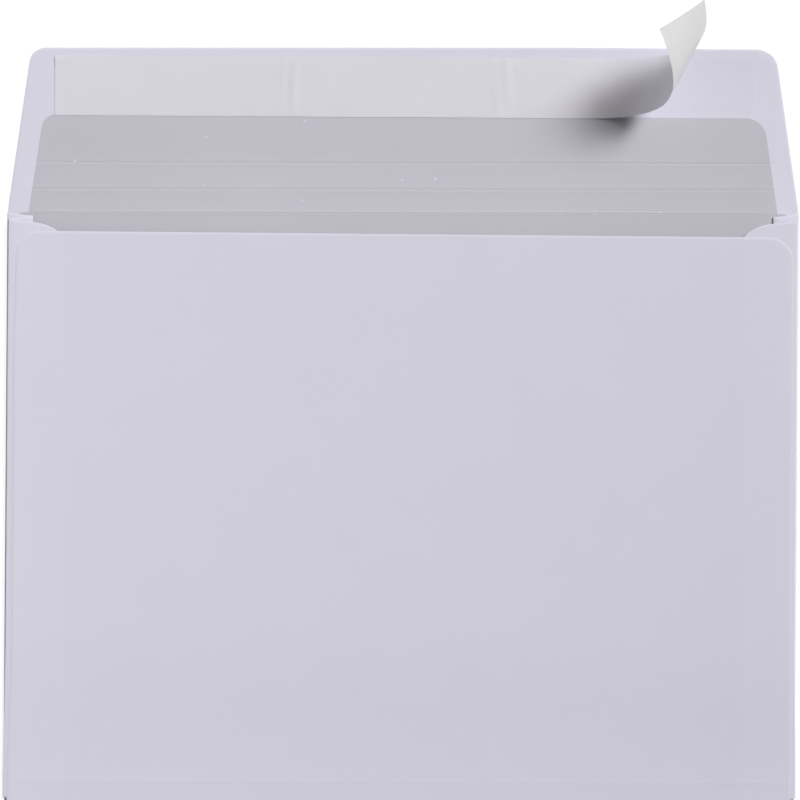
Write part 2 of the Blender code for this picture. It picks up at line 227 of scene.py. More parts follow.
# The die-cut edges are painted lighter: a painted highlight of their rounded edge.
PAPER_EDGE_HIGHLIGHT = (0.1, 0.55)  # where the cut edge's painted highlight begins and is full
LINER_EDGE_HIGHLIGHT = (0.75, 1.0)
PAPER_RELIEF = 0.012 * MM
LINER_RELIEF = 0.006 * MM
FILM_RELIEF = 0.01 * MM
PRINT_GRAIN_DEPTH = 0.035
OVER_GLUE_FLAP_BLEND = (-0.4 * MM, 0.6 * MM)  # where the back's colour passes to the next one
OVER_FOLDS_BLEND = (-1.2 * MM, 1.2 * MM)
FILM_COVER = (0.004, 0.014)  # how much the clear glue covers: least, most
LINER_GLOW_SHARE = 0.6  # of the light that goes into the thin liner and comes out again
LINER_GLOW_DEPTH = 0.12 * MM
LINER_LET_THROUGH = 0.34  # of the light at each face, so that its shadow is pale

# Stage
MIDDLE = (0.0, 45 * MM)  # of what is shown
KEY_AIM = (-0.25, 0.15)  # off the middle, so that its light falls off towards the lower right
ROOM_LIGHT = 0.05
FLOOR_HALF = 3.0
FLOOR_DROP = 0.05 * MM
FLOOR_LIT = (0.7, 0.7, 0.7, 1.0)  # what the other surfaces get back from it
FLOOR_SEEN = (0.16, 0.16, 0.16, 1.0)
FLOOR_GLOW_REACH = (0.3, 1.2)  # between these distances from the middle
FLOOR_GLOW = (0.88, 1.05)  # its glow grows from and to these
CAMERA_HEIGHT = 850 * MM
PIXELS_ACROSS = 800
PIXELS_PER_METRE = 2441.5
SENSOR = 36.0
VIEW_CENTRE = (-1.05 * MM, 44.6 * MM)
CAMERA_ROLL = math.radians(0.14)
CAMERA_CLIP = (0.01, 20.0)


# Helpers


def smooth(share):
    share = min(max(share, 0.0), 1.0)
    return share * share * (3 - 2 * share)


def steps(start, end, count):
    return [start + (end - start) * i / count for i in range(count + 1)]


def spaced(start, end, step):
    """Places from start to end, no further apart than step."""
    return steps(start, end, max(1, math.ceil(abs(end - start) / step)))


def filled(places, step):
    """The places in order, each once, with more put in wherever two are further apart than step."""
    ordered = sorted(places)
    result = [ordered[0]]
    for place in ordered[1:]:
        if place - result[-1] > SAME_PLACE:
            result += spaced(result[-1], place, step)[1:]
    return result


def waves(x, y, seed):
    """A gentle unevenness between -1 and 1 at a place on the paper."""
    across, along = x / COCKLE_LENGTH, y / COCKLE_LENGTH
    slow = noise.noise(Vector((across, along, seed)))
    fine = noise.noise(Vector((across * COCKLE_FINER, along * COCKLE_FINER, seed + 5.0)))
    return (1 - COCKLE_FINER_SHARE) * slow + COCKLE_FINER_SHARE * fine


def raised_waves(x, y, seed):
    """The same unevenness, between 0 and 1."""
    return 0.5 + 0.5 * waves(x, y, seed)


def grid_faces(mesh, rows, slot=0):
    """Quads between neighbouring rows of equally many vertices."""
    for low, high in zip(rows, rows[1:]):
        for i in range(len(low) - 1):
            face = mesh.faces.new((low[i], low[i + 1], high[i + 1], high[i]))
            face.material_index = slot


def finish_sheet(name, mesh, materials, thickness, sharp_angle):
    """The object made from a middle surface: its other side and rim take the next material slot."""
    data = bpy.data.meshes.new(name)
    mesh.to_mesh(data)
    mesh.free()
    for each in materials:
        data.materials.append(each)
    made = bpy.data.objects.new(name, data)
    bpy.context.scene.collection.objects.link(made)
    solidify = made.modifiers.new("thickness", "SOLIDIFY")
    solidify.thickness = thickness
    solidify.offset = 0.0
    solidify.use_even_offset = True
    solidify.material_offset = 1
    solidify.material_offset_rim = 1
    bpy.context.view_layer.update()
    evaluated = made.evaluated_get(bpy.context.evaluated_depsgraph_get())
    solid = bpy.data.meshes.new_from_object(evaluated)
    made.modifiers.clear()
    made.data = solid
    solid.shade_smooth()
    solid.set_sharp_from_angle(angle=sharp_angle)
    return made


# The folded sheet


def rise_at(y):
    """Height of the glue flap over the front panel: pressed flat at the foot, open above."""
    return PACKED_RISE + (OPEN_RISE - PACKED_RISE) * smooth((y - SCORE_Y) / FOOT_BLEND)


def groove_lift(offset, depth=SCORE_HEIGHT, half_width=SCORE_HALF_WIDTH, shoulder=SCORE_SHOULDER):
    """Height beside a line scored from above: a groove between two low shoulders."""
    away = abs(offset)
    if away < half_width:
        return depth * smooth(away / half_width)
    return depth * (1 - smooth((away - half_width) / (shoulder - half_width)))


def fold_lift(offset):
    """The flap's fold: a tight groove, its lower shoulder the weaker."""
    lift = groove_lift(offset, FOLD_GROOVE, FOLD_HALF_WIDTH, FOLD_SHOULDER)
    return lift * (FOLD_LOWER_SHOULDER if offset < 0 else 1.0)


def ridge_lift(offset):
    """Height beside a line scored from within: the paper stands up along it."""
    return FOOT_RIDGE * (1 - smooth(abs(offset) / (2 * SCORE_HALF_WIDTH)))


def score_places(y, half_width=SCORE_HALF_WIDTH, shoulder=SCORE_SHOULDER):
    """Row places across a scored line."""
    near = [share * half_width for share in (0.0, 0.35, 0.7, 1.0)]
    near += steps(half_width, shoulder, SHOULDER_STEPS)[1:]
    return [y - offset for offset in near] + [y + offset for offset in near]


def arch_lift(y):
    """The opened fold stands up: facets from the upper score to the fold, and a slope below it."""
    if y >= FOLD_Y:
        return FOLD_ARCH * max(1 - (y - FOLD_Y) / FLAP_SCORES[-1], 0.0)
    return FOLD_ARCH * (1 - smooth((FOLD_Y - y) / FOLD_ARCH_BELOW))


def inner_lift(x, y, half):
    """Relief of the flap and front panel: scores, the opened fold and cockle."""
    lift = fold_lift(y - FOLD_Y) + arch_lift(y)
    lift += sum(groove_lift(y - FOLD_Y - up) for up in FLAP_SCORES)
    cockle = FLAP_COCKLE * raised_waves(x, y, FLAP_SEED)
    from_fold, from_liner = FLAP_COCKLE_FADES
    cockle *= smooth((y - FOLD_Y) / from_fold) * smooth((LINER_LOW_Y - y) / from_liner)
    flat_border = 14 * MM
    return (lift + cockle) * smooth((half - abs(x)) / flat_border)


def back_lift(x, y, half):
    """Relief of the back panel: the ridge at its foot, a step past each glue flap, and cockle."""
    past = GLUE_EDGE_X - abs(back_place(x, y)[0])
    step = GLUE_EDGE_STEP * smooth(past / GLUE_EDGE_RUN)
    fade_in = 25 * MM
    cockle = BACK_COCKLE * smooth(past / fade_in) * raised_waves(x, y, BACK_SEED)
    dip = (step + cockle) * smooth((y - SCORE_Y) / fade_in)
    flat_border = 3 * MM
    return ridge_lift(y - SCORE_Y) * smooth((half - abs(x)) / flat_border) - dip


def rounded_end(half_at, end_y, radius, side_slope=0.0):
    """(y, half width) round the corners of a straight end, on sides that lean in by side_slope."""
    turn = math.pi / 2 - side_slope
    centre_x = half_at(end_y) - radius * math.tan(turn / 2)
    centre_y = end_y - radius
    rows = []
    for angle in steps(side_slope, math.pi / 2, CORNER_STEPS):
        rows.append((centre_y + radius * math.sin(angle), centre_x + radius * math.cos(angle)))
    return rows


def flap_half(y):
    up = max(y - FOLD_Y, 0.0)
    return PANEL_HALF + FLAP_FLARE * smooth(up / FLAP_FLARE_RUN) - up * math.tan(FLAP_SIDE_SLOPE)


def cornered_half(y, radius):
    """Half width of the flap with corners of a radius at its top."""
    centre_y = FLAP_TOP_Y - radius
    if y <= centre_y + radius * math.sin(FLAP_SIDE_SLOPE):
        return flap_half(y)
    centre_x = flap_half(FLAP_TOP_Y) - radius * math.tan(math.pi / 4 - FLAP_SIDE_SLOPE / 2)
    return centre_x + math.sqrt(max(radius ** 2 - (y - centre_y) ** 2, 0.0))


def flap_place(x, y):
    """Where a point of the flap comes to lie, with its left corner and its top edge as they are."""
    if x < 0:
        x *= cornered_half(y, FLAP_LEFT_CORNER_RADIUS) / cornered_half(y, FLAP_CORNER_RADIUS)
    rise = x * math.tan(FLAP_TOP_TURN)
    rise -= FLAP_TOP_DROP * smooth((x - FLAP_TOP_DROP_X) / FLAP_TOP_DROP_RUN)
    return x, y + rise * smooth((y - FLAP_TOP_Y + FLAP_TOP_BAND) / FLAP_TOP_BAND)


def back_half(y):
    return PANEL_HALF - BACK_INSET - DRAW_IN * smooth((y - SCORE_Y) / FOOT_BLEND)


def back_place(x, y):
    """Where a point of the back panel comes to lie: it isn't folded up quite true."""
    settled = smooth((y + POCKET_LENGTH / 2) / FOOT_BLEND)
    bend = BACK_LEFT_BEND * max(-x / PANEL_HALF, 0.0) * smooth((y - BACK_BEND_Y) / BACK_BEND_RUN)
    return x + BACK_SHIFT * settled + bend, y - x * math.tan(THROAT_TILT) * settled


def edge_distance(x, y, half_at, end_y, radius):
    """How far a place on a panel lies inside its cut sides and its round-cornered end."""
    side = abs(x) - half_at(y) + radius
    end = y - end_y + radius
    return radius - math.hypot(max(side, 0.0), max(end, 0.0)) - min(max(side, end), 0.0)


def edge_band_at(distance):
    """How strong the edge band is at a distance inside a cut edge, for its roll and its painted
    highlight.
    """
    return min(max(1 - distance / CUT_EDGE_BAND, 0.0), 1.0)


# Nearness to the cut edges of the flap and of the back panel, for their roll and their painted
# highlight.
def flap_edge_band(x, y):
    if y <= FOLD_Y:
        return 0.0
    return edge_band_at(edge_distance(x, y, flap_half, FLAP_TOP_Y, FLAP_CORNER_RADIUS))


def back_edge_band(x, y):
    return edge_band_at(edge_distance(x, y, back_half, THROAT_Y, BACK_CORNER_RADIUS))


def drawn_in(height, rise):
    """How far the open gusset's upper part is pulled in at a height of its rise."""
    return DRAW_IN * (rise - PACKED_RISE) / (OPEN_RISE - PACKED_RISE) * height / rise


def panel_columns(half):
    """X places across a panel. They are as many at each width, so that rows join."""
    at_edge = (0.0, 0.4 * MM, CUT_EDGE_BAND, 1.5 * MM, 3 * MM, 6 * MM)
    at_glue_edge = (-2 * MM, -1 * MM, *steps(-0.4 * MM, 2 * MM, 6), 4 * MM)
    glue_edge = min(GLUE_EDGE_X, half - 9 * MM)
    right = [half - inset for inset in at_edge]
    right += steps(half - at_edge[-1], glue_edge - at_glue_edge[0], 4)[1:-1]
    right += [glue_edge - past for past in at_glue_edge]
    inner = right.pop()
    middle = steps(-inner, inner, MIDDLE_COLUMNS)
    return [-x for x in right] + middle + right[::-1]


def front_places():
    """Y places of the front panel's rows from the gussets' foot to the flap's fold."""
    near_fold = [y for y in score_places(FOLD_Y, FOLD_HALF_WIDTH, FOLD_SHOULDER) if y <= FOLD_Y]
    seen_from = THROAT_Y - THROAT_DEPTH
    hidden = filled([GUSSET_FOOT_Y, SCORE_Y, SCORE_Y + FOOT_BLEND, seen_from], HIDDEN_ROW_STEP)
    seen = spaced(seen_from, FOLD_Y - SCORE_SHOULDER, THROAT_ROW_STEP)
    burr_rows = [FOLD_Y - CUT_EDGE_BAND, FOLD_Y - 2 * CUT_EDGE_BAND]
    return filled(hidden + near_fold + seen + burr_rows, WIDTH)


def flap_places():
    """(y, half width) of the flap's rows above its fold."""
    places = [y for y in score_places(FOLD_Y, FOLD_HALF_WIDTH, FOLD_SHOULDER) if y > FOLD_Y]
    for up in FLAP_SCORES:
        places += score_places(FOLD_Y + up)
    corner = rounded_end(flap_half, FLAP_TOP_Y, FLAP_CORNER_RADIUS, FLAP_SIDE_SLOPE)
    straight = filled(places + [corner[0][0]], ROW_STEP)[:-1]
    return [(y, flap_half(y)) for y in straight] + corner


def back_places():
    """(y, half width) of the back panel's rows from the foot to the throat."""
    ridge = [SCORE_Y + share * SCORE_HALF_WIDTH for share in (-2, -1, -0.5, 0, 0.5, 1, 2)]
    corner = rounded_end(back_half, THROAT_Y, BACK_CORNER_RADIUS)
    straight = filled([GUSSET_FOOT_Y, *ridge, corner[0][0]], ROW_STEP)[:-1]
    return [(y, back_half(y)) for y in straight] + corner


def gusset_section(rise):
    """(distance along the paper, inset from the panel's edge, height) of the V at one rise."""
    reach = math.hypot(2 * PLY_WIDTH, 4 * FOLD_RADIUS)
    lean = math.asin((rise - 2 * FOLD_RADIUS) / reach) - math.atan2(4 * FOLD_RADIUS, 2 * PLY_WIDTH)
    turns = (math.pi - lean, -(math.pi - 2 * lean), math.pi - lean)
    straights = (PLY_WIDTH, PLY_WIDTH, 0.0)
    x, z, travelled, heading = 0.0, 0.0, 0.0, math.pi
    points = [(travelled, x, z)]
    for turn, straight in zip(turns, straights):
        arc_step = abs(turn) / FOLD_STEPS * FOLD_RADIUS
        chord = 2 * FOLD_RADIUS * math.sin(abs(turn) / FOLD_STEPS / 2)
        for _ in range(FOLD_STEPS):
            heading -= turn / FOLD_STEPS / 2
            x += chord * math.cos(heading)
            z += chord * math.sin(heading)
            heading -= turn / FOLD_STEPS / 2
            travelled += arc_step
            points.append((travelled, x, z))
        for _ in range(PLY_STEPS if straight else 0):
            x += straight / PLY_STEPS * math.cos(heading)
            z += straight / PLY_STEPS * math.sin(heading)
            travelled += straight / PLY_STEPS
            points.append((travelled, x, z))
    return points


def glue_flap_columns():
    """(distance in from the outer fold's end, extra drop of the end) with the corner rounded."""
    flat = GLUE_FLAP_WIDTH - FOLD_RADIUS
    straight = spaced(0.0, flat - GUSSET_CORNER_ACROSS, GLUE_FLAP_STEP)[1:-1]
    columns = [(across, 0.0) for across in straight]
    for angle in steps(0.0, math.pi / 2, CORNER_STEPS):
        across = flat - GUSSET_CORNER_ACROSS * (1 - math.sin(angle))
        columns.append((across, GUSSET_CORNER_DOWN * (1 - math.cos(angle))))
    return columns


def gusset_columns(rise):
    """(distance along the paper, inset, height, extra drop) of each column of one gusset."""
    section = [(travelled, x, z, 0.0) for travelled, x, z in gusset_section(rise)]
    travelled, x, z, _ = section[-1]
    for across, drop in glue_flap_columns():
        section.append((travelled + across, x + across, z, drop))
    return section


def make_sheet(materials):
    """The whole folded blank. The slots are those of its inner faces; the next one is outside."""
    mesh = bmesh.new()
    # nearness to a cut edge, which the materials paint lighter as a painted highlight
    near_cut = mesh.verts.layers.float.new("cut_edge")
    inside_slot, back_slot, gusset_slot = 0, 2, 4

    def row_of(y, z, half, lift=None, place=None, cut=None):
        points = []
        for x in panel_columns(half):
            px, py = place(x, y) if place else (x, y)
            at_cut = cut(x, y) if cut else 0.0
            height = z + (lift(x, y, half) if lift else 0.0) - EDGE_ROLL * at_cut
            vert = mesh.verts.new((px, py, height))
            vert[near_cut] = at_cut
            points.append(vert)
        return points

    front = [row_of(y, FRONT_Z, PANEL_HALF, inner_lift) for y in front_places()]
    flap = [front[-1]]
    for y, half in flap_places():
        flap.append(row_of(y, FRONT_Z, half, inner_lift, flap_place, flap_edge_band))
    foot = [row_of(FOOT_Y, FRONT_Z, PANEL_HALF)]
    for angle in steps(0.0, math.pi, 2 * FOLD_STEPS)[1:]:
        y = FOOT_Y - FOOT_RADIUS * math.sin(angle)
        z = FRONT_Z + FOOT_RADIUS * (1 - math.cos(angle))
        foot.append(row_of(y, z, PANEL_HALF - angle / math.pi * BACK_INSET))
    back = [foot[-1]]
    for y, half in back_places():
        z = FRONT_Z + rise_at(y) + SEAM_RISE
        back.append(row_of(y, z, half, back_lift, back_place, back_edge_band))

    grid_faces(mesh, [foot[0], front[0]], inside_slot)
    grid_faces(mesh, front, inside_slot)
    grid_faces(mesh, flap, inside_slot)
    grid_faces(mesh, foot[::-1], inside_slot)
    grid_faces(mesh, back[::-1], back_slot)

    for side in (-1, 1):
        edge = [row[0] if side < 0 else row[-1] for row in front]
        rows = []
        for y, start in zip(front_places(), edge):
            share = (y - GUSSET_FOOT_Y) / (FOLD_Y - GUSSET_FOOT_Y)
            row = [start]
            columns = gusset_columns(rise_at(y))
            for column, (travelled, _, _, drop) in enumerate(columns[1:], 1):
                end_y = FOLD_Y - travelled * math.tan(GUSSET_END_SLOPE) - drop
                at_y = GUSSET_FOOT_Y + share * (end_y - GUSSET_FOOT_Y)
                rise = rise_at(at_y)
                _, inset, height, _ = gusset_columns(rise)[column]
                inset += drawn_in(height, rise)
                at_cut = edge_band_at(min(end_y - at_y, columns[-1][0] - travelled))
                height += FRONT_Z - EDGE_ROLL * at_cut
                vert = mesh.verts.new((side * (PANEL_HALF - inset), at_y, height))
                vert[near_cut] = at_cut
                row.append(vert)
            rows.append(row if side > 0 else row[::-1])
        grid_faces(mesh, rows, gusset_slot)

    for vert in mesh.verts:
        vert.co.x += min(vert.co.y - FOLD_Y, 0.0) * math.tan(OUT_OF_SQUARE)
    return finish_sheet("envelope_sheet", mesh, materials, SHEET, SHEET_SHARP_ANGLE)


# The release liner


def peel_curvature(distance):
    """Bend of the rolled liner at a distance past the rolling line."""
    for (start, tight), (end, loose) in zip(PEEL_RADII, PEEL_RADII[1:]):
        if distance <= end:
            share = (distance - start) / (end - start)
            bend = (1 - share) / tight + share / loose
            return bend * min(distance / PEEL_EASE, 1.0)
    return 1 / PEEL_RADII[-1][1]


def peel_profile(length):
    """(forward, up) reached after each small step along the rolled liner."""
    forward, up, angle = 0.0, 0.0, 0.0
    places = [(forward, up)]
    for i in range(int(length / PEEL_STEP) + 2):
        angle += peel_curvature((i + 0.5) * PEEL_STEP) * PEEL_STEP
        forward += math.cos(angle) * PEEL_STEP
        up += math.sin(angle) * PEEL_STEP
        places.append((forward, up))
    return places


def liner_lift(x, y):
    """Unevenness of the flat liner: waves, two groups of creases, edges that hug the paper."""
    to_edge = min(y - LINER_LOW_Y, LINER_TOP_Y - y)
    wavy = raised_waves(x * LINER_COCKLE_FINER, y * LINER_COCKLE_FINER, LINER_SEED)
    lift = LINER_COCKLE * wavy * smooth(to_edge / (4 * MM))
    lift -= LINER_DROOP * (1 - smooth(to_edge / ADHESIVE_MARGIN))
    corner = math.hypot(x - LINER_LEFT, LINER_TOP_Y - y)
    lift += LINER_CORNER_LIFT * (1 - smooth(corner / LINER_CORNER_REACH))
    for middle, spread in LINER_CREASES:
        near = math.exp(-(((x - middle) / spread) ** 2))
        phase = (x - middle) / LINER_CREASE_PITCH + waves(y, x, CREASE_SEED) * LINER_CREASE_WANDER
        lift += LINER_CREASE_HEIGHT * near * (1 + math.sin(phase))
    return lift


def make_liner(materials):
    """The release strip: flat on its adhesive, its right end peeled and rolled over."""
    along = (math.cos(PEEL_ANGLE), math.sin(PEEL_ANGLE))
    across = (along[1], -along[0])
    places = peel_profile(LINER_RIGHT - PEEL_START)
    flat_run_in = 15 * MM

    def rolled(x, y):
        """Where a point of the flat strip comes to lie."""
        beyond = smooth((x - PEEL_START) / (LINER_RIGHT - PEEL_START))
        x -= LINER_END_SLANT * beyond * (y - LINER_LOW_Y) / LINER_WIDTH
        y -= (x - LINER_TURN_X) * math.tan(LINER_TURN)
        rel_x, rel_y = x - PEEL_START, y - LINER_LOW_Y
        on_line = rel_x * along[0] + rel_y * along[1]
        past = rel_x * across[0] + rel_y * across[1]
        if past <= 0:
            return x, y, LINER_Z + liner_lift(x, y) * smooth(-past / flat_run_in)
        index = past / PEEL_STEP
        whole = int(index)
        (f0, u0), (f1, u1) = places[whole], places[whole + 1]
        forward = f0 + (f1 - f0) * (index - whole)
        up = u0 + (u1 - u0) * (index - whole)
        base_x = PEEL_START + on_line * along[0] + forward * across[0]
        base_y = LINER_LOW_Y + on_line * along[1] + forward * across[1]
        return base_x, base_y, LINER_Z + up

    mesh = bmesh.new()
    # nearness to the liner's cut edges, which its material paints lighter as a painted highlight
    near_cut = mesh.verts.layers.float.new("cut_edge")
    edge_rows = [share * ADHESIVE_MARGIN for share in (0.0, 0.33, 0.67, 1.0)]
    ys = steps(LINER_LOW_Y + ADHESIVE_MARGIN, LINER_TOP_Y - ADHESIVE_MARGIN, LINER_COLUMNS)
    ys += [LINER_LOW_Y + inset for inset in edge_rows]
    ys += [LINER_TOP_Y - inset for inset in edge_rows]
    ys = filled(ys, LINER_WIDTH)
    xs = spaced(LINER_LEFT, PEEL_START, LINER_FLAT_STEP)
    xs += spaced(PEEL_START, LINER_RIGHT, LINER_STEP)
    xs += [LINER_LEFT + inset for inset in edge_rows]
    for middle, spread in LINER_CREASES:
        xs += spaced(middle - 2 * spread, middle + 2 * spread, LINER_CREASE_STEP)
    rows = []
    for x in filled(xs, LINER_FLAT_STEP):
        row = []
        for y in ys:
            vert = mesh.verts.new(rolled(x, y))
            vert[near_cut] = 1.0 if y in (ys[0], ys[-1]) or x in (LINER_LEFT, LINER_RIGHT) else 0.0
            row.append(vert)
        rows.append(row)
    grid_faces(mesh, rows)
    mesh.normal_update()
    if mesh.faces[:][0].normal.z < 0:
        bmesh.ops.reverse_faces(mesh, faces=mesh.faces)
    return finish_sheet("release_liner_strip", mesh, materials, LINER_SHEET, LINER_SHARP_ANGLE)


# Node building


class Tree:
    """A node tree with short calls for the nodes that the finishes use."""

    def __init__(self, tree):
        self.tree = tree

    def node(self, kind, **settings):
        made = self.tree.nodes.new(kind)
        for name, value in settings.items():
            setattr(made, name, value)
        return made

    def feed(self, socket, value):
        if isinstance(value, bpy.types.NodeSocket):
            self.tree.links.new(value, socket)
        else:
            socket.default_value = value

    def math(self, operation, *values):
        made = self.node("ShaderNodeMath", operation=operation)
        for socket, value in zip(made.inputs, values):
            self.feed(socket, value)
        return made.outputs[0]

    def ramp(self, value, low, high, to_low=0.0, to_high=1.0):
        """The value carried smoothly from low..high to to_low..to_high."""
        made = self.node("ShaderNodeMapRange", interpolation_type="SMOOTHSTEP")
        made.inputs["From Min"].default_value = low
        made.inputs["From Max"].default_value = high
        made.inputs["To Min"].default_value = to_low
        made.inputs["To Max"].default_value = to_high
        self.feed(made.inputs["Value"], value)
        return made.outputs["Result"]

    def noise(self, vector, scale, detail=2.0, roughness=0.5):
        made = self.node("ShaderNodeTexNoise")
        self.feed(made.inputs["Vector"], vector)
        made.inputs["Scale"].default_value = scale
        made.inputs["Detail"].default_value = detail
        made.inputs["Roughness"].default_value = roughness
        return made.outputs["Fac"]

    def around_zero(self, noise, amount):
        """A noise of 0 to 1 as an unevenness around 0."""
        return self.math("MULTIPLY", self.math("SUBTRACT", noise, 0.5), amount)

    def mix(self, share, first, second):
        made = self.node("ShaderNodeMix", data_type="RGBA")
        self.feed(made.inputs["Factor"], share)
        self.feed(made.inputs["A"], first)
        self.feed(made.inputs["B"], second)
        return made.outputs["Result"]

    def group(self, group, **values):
        """The group's outputs. In a value's name, _ stands for a space."""
        made = self.node("ShaderNodeGroup", node_tree=group)
        for name, value in values.items():
            self.feed(made.inputs[name.replace("_", " ")], value)
        return made.outputs

    def scaled(self, colour, shade):
        """The colour times a number."""
        made = self.node("ShaderNodeVectorMath", operation="SCALE")
        self.feed(made.inputs[0], colour)
        self.feed(made.inputs["Scale"], shade)
        return made.outputs[0]


def new_group(name, inputs, outputs):
    """A shader group with named number sockets: (group, its tree, inner inputs, outputs)."""
    group = bpy.data.node_groups.new(name, "ShaderNodeTree")
    number = "NodeSocketFloat"
    for label, value in inputs.items():
        socket = group.interface.new_socket(name=label, in_out="INPUT", socket_type=number)
        socket.default_value = value
    for label in outputs:
        group.interface.new_socket(name=label, in_out="OUTPUT", socket_type=number)
    tree = Tree(group)
    return group, tree, tree.node("NodeGroupInput").outputs, tree.node("NodeGroupOutput").inputs


def make_paper_stock():
    """Uneven tone and fibres of pressed paper: Shade is near 1, Height is for a bump."""
    sockets = {"Mottle": 0.02, "Fibre": 0.01}
    group, tree, given, out = new_group("paper stock", sockets, ("Shade", "Height"))
    place = tree.node("ShaderNodeTexCoord").outputs["Object"]
    clouds = tree.noise(place, STOCK_CLOUDS, 3.0, 0.6)
    flecks = tree.noise(place, STOCK_FLECKS, 2.0, 0.6)
    stretched = tree.node("ShaderNodeMapping")
    stretched.inputs["Rotation"].default_value = (0.0, 0.0, STOCK_FIBRE_TURN)
    stretched.inputs["Scale"].default_value = STOCK_FIBRES
    tree.feed(stretched.inputs["Vector"], place)
    fibres = tree.noise(stretched.outputs["Vector"], 1.0, 3.0, 0.65)
    cloud_shade = tree.around_zero(clouds, given["Mottle"])
    fine_shade = tree.math(
        "ADD", tree.around_zero(flecks, given["Fibre"]), tree.around_zero(fibres, given["Fibre"])
    )
    tree.feed(out["Shade"], tree.math("ADD", tree.math("ADD", cloud_shade, fine_shade), 1.0))
    tree.feed(out["Height"], tree.math("ADD", flecks, fibres))
    return group


def make_panel_outline():
    """Distance from a panel's outline, below zero inside. The top's corners are round."""
    sockets = {
        "Half Width": WIDTH / 2,
        "Lean": 0.0,
        "Base Y": 0.0,
        "Top Y": FOLD_Y,
        "Radius": BACK_CORNER_RADIUS,
        "Skew": 0.0,
    }
    group, tree, given, out = new_group("panel outline", sockets, ("Distance",))
    split = tree.node("ShaderNodeSeparateXYZ")
    tree.feed(split.inputs[0], tree.node("ShaderNodeTexCoord").outputs["Object"])
    x, y = split.outputs["X"], split.outputs["Y"]
    up = tree.math("SUBTRACT", y, given["Base Y"])
    straight_x = tree.math("SUBTRACT", x, tree.math("MULTIPLY", up, given["Skew"]))
    straight_y = tree.math("ADD", y, tree.math("MULTIPLY", x, given["Skew"]))
    half = tree.math("SUBTRACT", given["Half Width"], tree.math("MULTIPLY", up, given["Lean"]))
    past_side = tree.math("SUBTRACT", tree.math("ABSOLUTE", straight_x), half)
    past_top = tree.math("SUBTRACT", straight_y, given["Top Y"])
    side = tree.math("ADD", past_side, given["Radius"])
    top = tree.math("ADD", past_top, given["Radius"])
    side_out = tree.math("POWER", tree.math("MAXIMUM", side, 0.0), 2.0)
    top_out = tree.math("POWER", tree.math("MAXIMUM", top, 0.0), 2.0)
    outside = tree.math("SQRT", tree.math("ADD", side_out, top_out))
    within = tree.math("MINIMUM", tree.math("MAXIMUM", side, top), 0.0)
    from_centre = tree.math("ADD", outside, within)
    tree.feed(out["Distance"], tree.math("SUBTRACT", from_centre, given["Radius"]))
    return group


def make_print_grain():
    """Grain of the grey print: Shade near 1, and Specks where dust kept the ink off."""
    group, tree, given, out = new_group("print grain", {"Grain": 0.03}, ("Shade", "Specks"))
    place = tree.node("ShaderNodeTexCoord").outputs["Object"]
    grain = tree.noise(place, PRINT_GRAIN_FINE, 2.0, 0.7)
    bands = tree.noise(place, PRINT_GRAIN_SLOW, 2.0, 0.5)
    fine = tree.around_zero(grain, given["Grain"])
    slow = tree.around_zero(bands, given["Grain"])
    tree.feed(out["Shade"], tree.math("ADD", tree.math("ADD", fine, slow), 1.0))
    cells = tree.node("ShaderNodeTexVoronoi", feature="F1", voronoi_dimensions="2D")
    tree.feed(cells.inputs["Vector"], place)
    cells.inputs["Scale"].default_value = SPECK_CELLS
    chance = tree.node("ShaderNodeSeparateColor")
    tree.feed(chance.inputs[0], cells.outputs["Color"])
    size = tree.math("MULTIPLY", tree.ramp(chance.outputs[0], *SPECK_CHANCE), SPECK_SIZE)
    speck = tree.math("LESS_THAN", cells.outputs["Distance"], size)
    tree.feed(out["Specks"], tree.math("MULTIPLY", speck, SPECK_STRENGTH))
    return group


PAPER_STOCK = make_paper_stock()
PANEL_OUTLINE = make_panel_outline()
PRINT_GRAIN = make_print_grain()


def new_material(name, roughness):
    made = bpy.data.materials.new(name)
    made.use_nodes = True
    tree = Tree(made.node_tree)
    shader = made.node_tree.nodes["Principled BSDF"]
    shader.inputs["Roughness"].default_value = roughness
    shader.inputs["Specular IOR Level"].default_value = PAPER_GLOSS
    return made, tree, shader


def bump(tree, shader, height, distance):
    made = tree.node("ShaderNodeBump")
    made.inputs["Strength"].default_value = 1.0
    made.inputs["Distance"].default_value = distance
    tree.feed(made.inputs["Height"], height)
    tree.feed(shader.inputs["Normal"], made.outputs["Normal"])


def place_axis(tree, axis):
    """The X, Y or Z of a place on the object."""
    split = tree.node("ShaderNodeSeparateXYZ")
    tree.feed(split.inputs[0], tree.node("ShaderNodeTexCoord").outputs["Object"])
    return split.outputs[axis]


def paper(name, face):
    """Matt uncoated paper. face(tree) gives its colour; the die-cut edges are a little lighter, a
    painted highlight.
    """
    made, tree, shader = new_material(name, PAPER_ROUGHNESS)
    stock = tree.group(PAPER_STOCK, Mottle=0.03, Fibre=0.02)
    near_cut = tree.node("ShaderNodeAttribute", attribute_name="cut_edge").outputs["Fac"]
    # painted highlight: the cut edges are mixed towards a lighter colour
    colour = tree.mix(tree.ramp(near_cut, *PAPER_EDGE_HIGHLIGHT), face(tree), (*CUT_EDGE_AND_HIGHLIGHT, 1.0))
    tree.feed(shader.inputs["Base Color"], tree.scaled(colour, stock["Shade"]))
    bump(tree, shader, stock["Height"], PAPER_RELIEF)
    return made


def bare(_tree):
    """Paper without print, the same all over."""
    return (*BARE_PAPER, 1.0)


